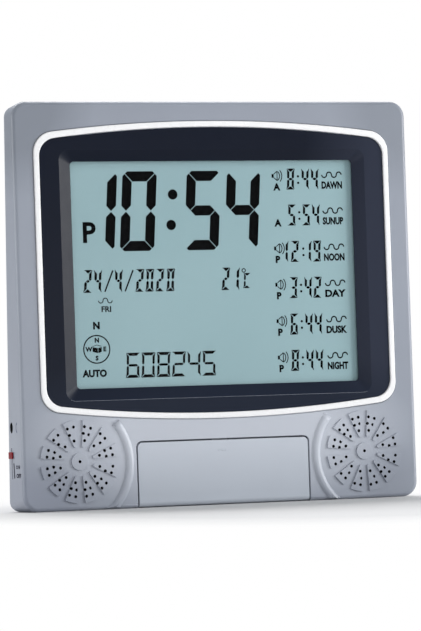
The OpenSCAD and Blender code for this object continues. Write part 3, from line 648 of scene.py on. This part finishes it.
def date_and_warmth():
    """The date with two strokes between its parts, and the room's temperature."""
    marks = Print()
    low, high, thick, gap = 111.4, 11.0, 1.35, 0.2
    for sign, left in (("2", -72.1), ("4", -66.7), ("4", -55.4), ("2", -43.6), ("0", -38.1), ("2", -32.5),
                       ("0", -26.6), ("2", 4.2), ("1", 9.7)):
        marks.digit(sign, left, low, 3.8, high, thick, gap, slant=0.07)
    for x in (-60.7, -49.6):
        marks.bar(x, 111.4, x + 4.7, 122.3, 0.8)
    marks.stroke(16.7, 121.1, 0.95, 0, 360, 0.5, 14)
    marks.digit("C", 16.4, 112.1, 3.3, 7.4, 1.0, 0.15, slant=0.07)
    marks.finish("display_date", INK, LCD_PRINT, slot="black_plastic")


def speaker_sign(marks, x, z):
    """A small loudspeaker with two sound waves."""
    marks.patch([(x, z - 1.0), (x + 1.2, z - 1.0), (x + 1.2, z + 1.0), (x, z + 1.0)])
    marks.stroke(x + 1.4, z, 3.1, -48, 48, 0.5, 8)
    marks.stroke(x + 1.4, z, 4.4, -42, 42, 0.5, 8)
    marks.bar(x + 1.3, z + 1.0, x + 3.2, z + 2.5, 0.45)
    marks.bar(x + 1.3, z - 1.0, x + 3.2, z - 2.5, 0.45)
    marks.bar(x + 3.1, z - 2.6, x + 3.1, z + 2.6, 0.45)


def row_times():
    """Six rows of times down the right, each with a sign, a half-day letter and its time of day."""
    marks = Print()
    rows = (("8:44", 163.4, "A", "DAWN", 1.3), ("5:54", 144.5, "A", "SUNUP", 1.3),
            ("12:19", 125.4, "P", "NOON", 1.3), ("3:42", 106.4, "P", "DAY", 0.9),
            ("6:44", 87.3, "P", "DUSK", 0.6), ("8:44", 68.3, "P", "NIGHT", 0.5))
    for time, low, half, label, shift in rows:
        hours, minutes = time.split(":")
        lefts, colon = ((36.6, 42.6), 49.6) if len(hours) == 2 else ((41.5,), 48.0)
        for sign, left in zip(hours + minutes, lefts + (49.8, 55.2)):
            marks.digit(sign, left + shift, low, 3.9, 10.4, 1.25, 0.18, slant=0.05)
        for rise in (3.2, 6.6):
            marks.disc(colon + shift, low + rise, 0.65, 10)
        marks.word(half, 35.0, low - 0.8, 3.5, 0.26)
        if label != "SUNUP":
            speaker_sign(marks, 34.3, low + 6.9)
        marks.word(label, 62.6, low - 0.1, 3.6, 0.24, fit=11.8)
        marks.wave(62.9, low + 7.3, 1.4, 4)
    marks.finish("display_rows", INK, LCD_PRINT, slot="black_plastic")


def compass_and_words():
    """A compass ring with its four letters and a plain box, and the small words and numbers low down."""
    marks = Print()
    x, z = -66.2, 82.0
    marks.stroke(x, z, 7.1, 0, 360, 0.65, 40)
    for sign, dx, dz in (("N", -1.0, 3.4), ("S", -0.8, -5.8), ("E", 3.6, -1.2), ("W", -6.2, -1.2)):
        marks.word(sign, x + dx, z + dz, 2.3, 0.17)
    marks.patch([(x - 2.3, z - 1.2), (x + 0.6, z - 2.0), (x + 0.6, z + 0.6), (x - 2.3, z + 1.2)])
    marks.patch([(x + 0.8, z - 2.0), (x + 2.7, z - 1.3), (x + 2.7, z + 1.1), (x + 0.8, z + 0.6)])
    marks.bar(x - 2.3, z + 1.5, x + 0.2, z + 2.2, 0.3)
    marks.bar(x + 0.2, z + 2.2, x + 2.6, z + 1.5, 0.3)
    marks.word("N", x - 1.6, 92.2, 3.5, 0.28)
    marks.word("AUTO", -74.4, 67.7, 3.5, 0.25, fit=13.3)
    marks.word("FRI", -62.9, 101.0, 2.9, 0.12, fit=5.3)
    marks.wave(-64.4, 106.9, 1.25, 3, 0.5)
    for place, sign in enumerate("608245"):
        marks.digit(sign, -50.4 + 8.44 * place, 67.2, 6.9, 12.2, 1.2, 0.2, slant=0.05)
    marks.finish("display_words", INK, LCD_PRINT, slot="black_plastic")


# ---- keypad ----


def keypad_door():
    bm = solid_of("keypad_door")

    def on_panel(edge):
        on_front = all(depth_of(v) < DOOR_PANEL["thick"] and v.co.z > DOOR_PANEL["low"] for v in edge.verts)
        return on_front and edge.calc_length() > DOOR_PANEL["edge"]

    soften(bm, corner_edges(bm, 60, on_panel), ROUNDING["door"], 3)
    finished("keypad_door_panel", bm, DOOR, "keypad_door", stands_for=("keypad_door",))


def key_sign(marks, number, x, z):
    """The plain sign of a key: plus, less, up, down, ring, start, stop or list."""
    if number == 1:
        marks.bar(x - 2, z, x + 2, z, 0.7)
        marks.bar(x, z - 2, x, z - 0.36, 0.7)
        marks.bar(x, z + 0.36, x, z + 2, 0.7)
    elif number == 2:
        marks.bar(x - 2, z, x + 2, z, 0.7)
    elif number == 3:
        marks.patch([(x - 1.8, z - 1.2), (x + 1.8, z - 1.2), (x, z + 1.6)])
    elif number == 4:
        marks.patch([(x - 1.8, z + 1.2), (x, z - 1.6), (x + 1.8, z + 1.2)])
    elif number == 5:
        marks.stroke(x, z, 1.6, 0, 360, 0.5, 20)
    elif number == 6:
        marks.patch([(x - 1.2, z - 1.7), (x + 1.7, z), (x - 1.2, z + 1.7)])
    elif number == 7:
        marks.patch([(x - 1.4, z - 1.4), (x + 1.4, z - 1.4), (x + 1.4, z + 1.4), (x - 1.4, z + 1.4)])
    else:
        for step in (-1.4, 0, 1.4):
            marks.bar(x - 2, z + step, x + 2, z + step, 0.5)


def keys():
    """Two rows of four soft keys with rounded rims, each with its printed sign."""
    for number in range(1, 9):
        name = f"key_{number}"
        row, place = divmod(number - 1, 4)
        softened(name, KEY, name, width=ROUNDING["key"], segments=3)
        marks = Print()
        key_sign(marks, number, KEY_FIRST_X + KEY_PITCH * place, KEY_ROW_Z[row])
        marks.finish(name + "_sign", PRINT, KEY_FRONT + 0.01, 0.04, name, "key_rubber")


# ---- left side ----


def on_wall(marks, name, material):
    """Turns marks whose X is minus a depth onto the outside of the left wall."""
    turn = (Matrix.Translation((WALL_X, FRONT_Y, 0)) @ Matrix.Rotation(-WALL_LEAN, 4, "Z")
            @ Matrix.Rotation(-math.pi / 2, 4, "Z") @ Matrix.Translation((0, -FRONT_Y, 0)))
    marks.finish(name, material, -WALL_PRINT["lift"], WALL_PRINT["thick"], slot="case_plastic", turn=turn)


def side_prints():
    """Marks on the left wall: a faint crescent at the jack, a bar beside the switch and its two states."""
    crescent = Print()
    crescent.stroke(-8.6, 43.2, 2.3, 95, 265, 1.0, 12)
    on_wall(crescent, "jack_sign", FAINT_PRINT)
    states = Print()
    states.patch([(-15.7, 17.4), (-17.6, 17.4), (-18.4, 25.1), (-16.6, 25.1)])
    states.word("O N", -13.1, 22.1, 1.8, 0.16, fit=7.9)
    states.word("OFF", -12.7, 17.6, 2.0, 0.16, fit=9.4)
    on_wall(states, "switch_signs", SIDE_PRINT)


def jack_barrel():
    """The socket's black mouth, seen down the opening in the wall."""
    bm = bmesh.new()
    loops = []
    outside = JACK["r"] + BARREL["over"]
    for r in (outside, outside - BARREL["wall"]):
        ring = arc_points(JACK["depth"] + FRONT_Y, JACK["z"], r, 0, 360, 40)[:-1]
        loops += closed_loop(bm, [(BARREL["x"], y, z) for y, z in ring])
    mouth = bmesh.ops.bridge_loops(bm, edges=loops)["faces"]
    drawn_out(bm, mouth, (BARREL["length"], 0, 0))
    finished("jack_barrel", bm, BLACK)


# ---- batteries ----


def coil(start, towards, wide, narrow, length, turns, wire, steps=14):
    """A conical coil of wire about X, wound by turning a small circle, then drawn in to its narrow end."""
    bm = bmesh.new()
    disc = bmesh.ops.create_circle(bm, cap_ends=False, segments=8, radius=wire)["verts"]
    bmesh.ops.translate(bm, verts=disc, vec=(0, wide, 0))
    rise = Vector((towards * length / (turns * steps), 0, 0))
    bmesh.ops.spin(bm, geom=bm.edges[:] + disc, cent=(0, 0, 0), axis=(1, 0, 0), dvec=rise,
                   angle=2 * math.pi * turns, steps=turns * steps, use_merge=False)
    bmesh.ops.remove_doubles(bm, verts=bm.verts, dist=0.001)
    bmesh.ops.holes_fill(bm, edges=[e for e in bm.edges if e.is_boundary])
    for v in bm.verts:
        part = min(1, max(0, towards * v.co.x / length))
        across = Vector((0, v.co.y, v.co.z))
        v.co -= across.normalized() * (wide - narrow) * part
    bmesh.ops.translate(bm, verts=bm.verts, vec=start)
    bmesh.ops.recalc_face_normals(bm, faces=bm.faces)
    return bm


def battery_springs():
    """Flat contacts at both ends of the bay, and a coil round the dome at each cell's flat end."""
    softened("battery_contacts", CONTACT, width=0.1, segments=1)
    for row in range(3):
        side = 1 if row % 2 else -1
        start = Vector((side * SPRING_X, CELLS["y"], CELLS["first_z"] + CELLS["pitch"] * row))
        finished(f"battery_spring_{row + 1}", coil(start, -side, **SPRING), CONTACT)


front_case()
rear_case()
trim_ring()
display_bezel()
big_time()
date_and_warmth()
row_times()
compass_and_words()
keypad_door()
keys()
side_prints()
jack_barrel()
battery_springs()

for node, material, body, width in (
        ("display_window", LENS, "clock", 0.15), ("lcd_glass", LCD, "clock", 0.1),
        ("backlight_panel", LIGHT_PANEL, "clock", 0.2), ("lcd_holder", BLACK, "clock", 0.2),
        ("contact_strips", STRIP, "clock", 0.1), ("main_board", BOARD, "clock", 0.08),
        ("sound_chip", BLACK, "clock", 0.06), ("clock_chip", BLACK, "clock", 0.06),
        ("capacitors", CAPACITOR, "clock", 0.3), ("speaker_screws", SCREW, "clock", 0.1),
        ("door_hinge_pins", SCREW, "clock", 0.12), ("latch_body", LATCH, "clock", 0.2),
        ("latch_plunger", PLUNGER, "latch", 0.2), ("keypad_panel", PANEL, "clock", 0.12),
        ("reset_button", RESET, "reset", 0.15), ("key_mat", BLACK, "clock", 0.1),
        ("keypad_board", BOARD, "clock", 0.08), ("jack_socket", BLACK, "clock", 0.15),
        ("jack_contact_pin", CONTACT, "clock", 0.3), ("switch_body", BLACK, "clock", 0.15),
        ("switch_knob", KNOB, "switch", 0.3), ("battery_door", REAR, "battery_door", 0.2),
        ("battery_1", CELL, "clock", 0.3), ("battery_2", TURNED_CELL, "clock", 0.3),
        ("battery_3", CELL, "clock", 0.3), ("holder_screws", SCREW, "clock", 0.1),
        ("board_screws", SCREW, "clock", 0.1), ("case_screws", BLACK_SCREW, "clock", 0.15)):
    softened(node, material, body, width)

for node, material in (
        ("left_speaker_basket", STEEL), ("left_speaker_cone", PAPER), ("left_speaker_magnet", STEEL),
        ("right_speaker_basket", STEEL), ("right_speaker_cone", PAPER), ("right_speaker_magnet", STEEL),
        ("speaker_leads", LEAD), ("battery_leads", LEAD)):
    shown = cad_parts[node]
    shown.data.materials.clear()
    shown.data.materials.append(material)


# ---- floor, light and background ----


def to_lens(finish):
    """1 for rays that come from the camera, a mirror or clear plastic, and 0 for light on the object."""
    path = finish.node("ShaderNodeLightPath").outputs
    some = finish.maths("MAXIMUM", path["Is Camera Ray"], path["Is Glossy Ray"])
    return finish.maths("MAXIMUM", some, path["Is Transmission Ray"])


def add_floor():
    """A pale floor that takes the shadow near the clock and runs out to plain white for the lens."""
    finish = Finish("floor")
    finish.nodes.remove(finish.shader)
    paint = finish.node("ShaderNodeBsdfDiffuse")
    tone = finish.ramp(finish.noise(6, 2), (0.3, (0.59, 0.59, 0.59, 1)), (0.7, (0.61, 0.61, 0.61, 1)))
    seen = to_lens(finish)
    finish.links.new(finish.mix(seen, tone, SEEN_FLOOR), paint.inputs["Color"])
    white = finish.node("ShaderNodeEmission")
    oval = finish.node("ShaderNodeMapping", {
        "Vector": finish.place, "Location": SHADOW["shift"], "Scale": SHADOW["stretch"]}).outputs[0]
    far = finish.node("ShaderNodeVectorMath", {0: oval}, operation="LENGTH").outputs["Value"]
    reach = finish.span(far, 0, 1, SHADOW["full"], SHADOW["gone"])
    both = finish.node("ShaderNodeMixShader", {0: finish.maths("MULTIPLY", seen, reach),
                                               1: paint.outputs[0], 2: white.outputs[0]})
    finish.links.new(both.outputs[0], finish.nodes["Material Output"].inputs["Surface"])
    bm = bmesh.new()
    bmesh.ops.create_grid(bm, x_segments=1, y_segments=1, size=6)
    bmesh.ops.translate(bm, verts=bm.verts, vec=(0, 0, -NEAR * MM))
    mesh = bpy.data.meshes.new("floor")
    bm.to_mesh(mesh)
    bm.free()
    mesh.materials.append(finish.material)
    made = bpy.data.objects.new("floor", mesh)
    bpy.context.scene.collection.objects.link(made)


def add_world(strength=0.3):
    """Faint light from all round, and plain white for the lens and through clear plastic."""
    world = bpy.data.worlds.new("studio")
    bpy.context.scene.world = world
    world.use_nodes = True
    nodes, links = world.node_tree.nodes, world.node_tree.links
    path = nodes.new("ShaderNodeLightPath").outputs
    some = nodes.new("ShaderNodeMath")
    some.operation = "MAXIMUM"
    links.new(path["Is Camera Ray"], some.inputs[0])
    links.new(path["Is Transmission Ray"], some.inputs[1])
    mix = nodes.new("ShaderNodeMix")
    mix.data_type = "RGBA"
    links.new(some.outputs[0], mix.inputs[0])
    mix.inputs[6].default_value = (0.93 * strength, 0.96 * strength, 1.0 * strength, 1)
    mix.inputs[7].default_value = (1, 1, 1, 1)
    links.new(mix.outputs[2], nodes["Background"].inputs["Color"])


def add_lamp(name, place, aim, size, watts):
    """A soft white panel that the lens doesn't see."""
    lamp = bpy.data.lights.new(name, "AREA")
    lamp.shape = "RECTANGLE"
    lamp.size, lamp.size_y = size
    lamp.energy = watts
    made = bpy.data.objects.new(name, lamp)
    made.location = place
    made.rotation_euler = (Vector(aim) - Vector(place)).to_track_quat("-Z", "Y").to_euler()
    made.visible_camera = False
    bpy.context.scene.collection.objects.link(made)


add_floor()
add_world()
for lamp in LAMPS:
    add_lamp(*lamp)

bpy.context.scene.view_settings.view_transform = "Standard"
